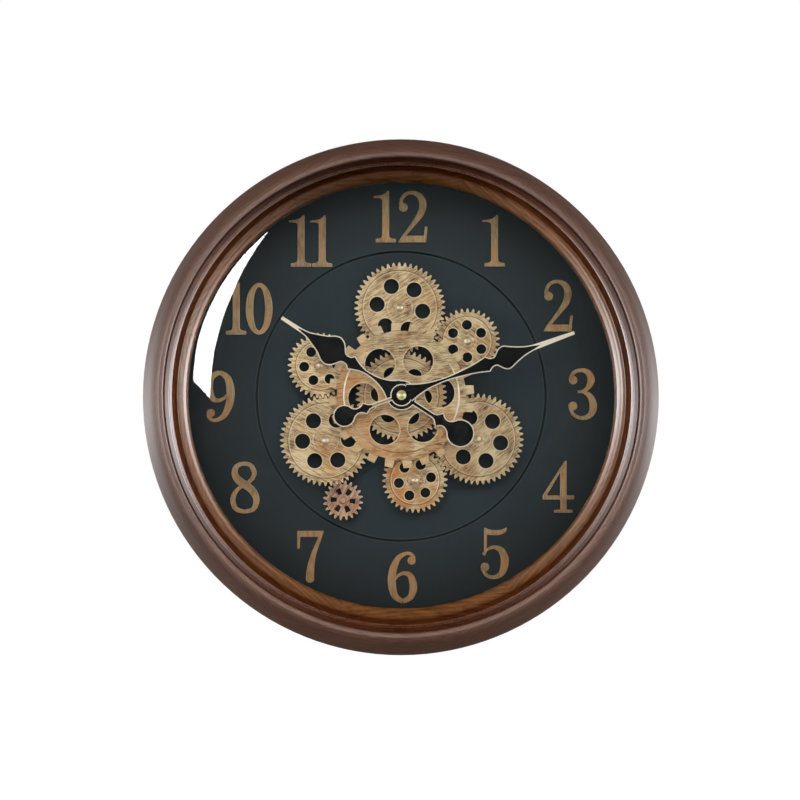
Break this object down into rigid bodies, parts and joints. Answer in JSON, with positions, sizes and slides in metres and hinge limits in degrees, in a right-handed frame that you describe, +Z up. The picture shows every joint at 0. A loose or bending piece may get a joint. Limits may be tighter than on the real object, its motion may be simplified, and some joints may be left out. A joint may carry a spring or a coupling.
{
  "type": "wall clock",
  "caption": "Round wall clock with a turned wooden frame and glass front, a dark dial with raised numerals, outlined hands and a train of meshing gears round its centre.",
  "frame": {"origin": "on the wall plane, on the axis of the dial and hands", "axes": "+Z up, +X to the right of someone facing the dial, +Y into the wall; the dial faces -Y"},
  "size_m": [0.533, 0.085, 0.533],
  "materials": {
    "outer_wood": "dark walnut stain, satin lacquer",
    "inner_wood": "red brown stain, semi gloss lacquer",
    "clear_glass": "clear flat glass",
    "black_liner": "black paper faced liner",
    "dial_paint": "satin blue black paint on board",
    "steel_screws": "zinc plated",
    "zinc_plate": "zinc plated",
    "brass": "satin",
    "pale_brass": "polished pale brass",
    "antique_gold": "antique gold with brown patina",
    "copper_gold": "antique rose gold with patina",
    "bright_steel": "bright",
    "hand_gold": "pale gold paint",
    "hand_black": "satin black paint",
    "numeral_gold": "satin gold paint",
    "black_plastic": "moulded, fine texture",
    "black_rubber": "matt",
    "copper_wire": "enamelled copper wire",
    "circuit_green": "green solder mask",
    "cell_jacket": "plain dark jacket with bright cap",
    "white_plastic": "moulded"
  },
  "bodies": {
    "case": {"outer_frame": "outer_wood", "bezel_ring": "inner_wood", "glass_lens": "clear_glass", "spacer_ring": "black_liner", "dial_board": "dial_paint", "dial_screws": "steel_screws", "bezel_screws": "steel_screws", "hanger_plate": "zinc_plate", "hanger_screws": "steel_screws", "numeral_1": "numeral_gold", "numeral_2": "numeral_gold", "numeral_3": "numeral_gold", "numeral_4": "numeral_gold", "numeral_5": "numeral_gold", "numeral_6": "numeral_gold", "numeral_7": "numeral_gold", "numeral_8": "numeral_gold", "numeral_9": "numeral_gold", "numeral_10": "numeral_gold", "numeral_11": "numeral_gold", "numeral_12": "numeral_gold", "centre_bush": "brass", "neck_washer": "brass", "neck_nut": "brass", "gear_studs": "brass", "board_screws": "steel_screws", "stud_washers": "pale_brass", "dome_nuts": "pale_brass", "movement_case": "black_plastic", "movement_cover": "black_plastic", "threaded_neck": "brass", "movement_gasket": "black_rubber", "movement_coil": "copper_wire", "movement_board": "circuit_green", "movement_cell": "cell_jacket", "drive_case": "black_plastic", "drive_cover": "black_plastic", "drive_motor": "bright_steel", "drive_cells": "cell_jacket"},
    "centre_gears": {"gear_hub": "brass", "centre_gear": "antique_gold", "front_gear": "antique_gold"},
    "top_gear": {"gear_top": "antique_gold"},
    "lower_left_gear": {"gear_lower_left": "antique_gold"},
    "lower_right_gear": {"gear_lower_right": "antique_gold"},
    "upper_right_gear": {"gear_upper_right": "antique_gold"},
    "upper_left_gear": {"gear_upper_left": "antique_gold"},
    "bottom_gear": {"gear_bottom": "antique_gold"},
    "pinion": {"drive_pinion": "copper_gold", "drive_shaft": "bright_steel", "pinion_nut": "pale_brass"},
    "hour": {"hour_tube": "brass", "hour_hand": "hand_gold", "hour_hand_inlay": "hand_black"},
    "minute": {"minute_arbor": "brass", "minute_hand": "hand_gold", "minute_hand_inlay": "hand_black", "cap_nut": "brass"},
    "knob": {"setting_knob": "white_plastic"},
    "switch": {"power_switch": "white_plastic"}
  },
  "joints": [
    {"name": "centre_spin", "type": "hinge", "parent": "case", "child": "centre_gears", "pos_m": [0, -0.045, 0], "axis": [0, 1, 0], "continuous": true},
    {"name": "top_gear_spin", "type": "hinge", "parent": "case", "child": "top_gear", "pos_m": [-0.00157, -0.045, 0.08975], "axis": [0, 1, 0], "continuous": true},
    {"name": "lower_left_gear_spin", "type": "hinge", "parent": "case", "child": "lower_left_gear", "pos_m": [-0.07726, -0.045, -0.04569], "axis": [0, 1, 0], "continuous": true},
    {"name": "lower_right_gear_spin", "type": "hinge", "parent": "case", "child": "lower_right_gear", "pos_m": [0.07805, -0.045, -0.04434], "axis": [0, 1, 0], "continuous": true},
    {"name": "upper_right_gear_spin", "type": "hinge", "parent": "case", "child": "upper_right_gear", "pos_m": [0.06717, -0.045, 0.05578], "axis": [0, 1, 0], "continuous": true},
    {"name": "upper_left_gear_spin", "type": "hinge", "parent": "case", "child": "upper_left_gear", "pos_m": [-0.08261, -0.045, 0.03079], "axis": [0, 1, 0], "continuous": true},
    {"name": "bottom_gear_spin", "type": "hinge", "parent": "case", "child": "bottom_gear", "pos_m": [0.01382, -0.045, -0.08621], "axis": [0, 1, 0], "continuous": true},
    {"name": "pinion_spin", "type": "hinge", "parent": "case", "child": "pinion", "pos_m": [-0.05942, -0.045, -0.10672], "axis": [0, 1, 0], "continuous": true},
    {"name": "minute_spin", "type": "hinge", "parent": "case", "child": "minute", "pos_m": [0, -0.045, 0], "axis": [0, 1, 0], "continuous": true},
    {"name": "hour_spin", "type": "hinge", "parent": "case", "child": "hour", "pos_m": [0, -0.045, 0], "axis": [0, 1, 0], "continuous": true},
    {"name": "knob_spin", "type": "hinge", "parent": "case", "child": "knob", "pos_m": [0, -0.015, 0.014], "axis": [0, 1, 0], "continuous": true},
    {"name": "switch_slide", "type": "slide", "parent": "case", "child": "switch", "axis": [1, 0, 0], "range_m": [0, 0.004]}
  ],
  "couplings": [
    {"joint": "top_gear_spin", "follows": "centre_spin", "ratio": -1},
    {"joint": "lower_left_gear_spin", "follows": "centre_spin", "ratio": -1},
    {"joint": "lower_right_gear_spin", "follows": "centre_spin", "ratio": -1},
    {"joint": "upper_right_gear_spin", "follows": "centre_spin", "ratio": 1.4118},
    {"joint": "upper_left_gear_spin", "follows": "centre_spin", "ratio": 1.4118},
    {"joint": "bottom_gear_spin", "follows": "centre_spin", "ratio": 1.4118},
    {"joint": "pinion_spin", "follows": "centre_spin", "ratio": 2.4},
    {"joint": "hour_spin", "follows": "minute_spin", "ratio": 0.083333},
    {"joint": "knob_spin", "follows": "minute_spin", "ratio": -1}
  ]
}
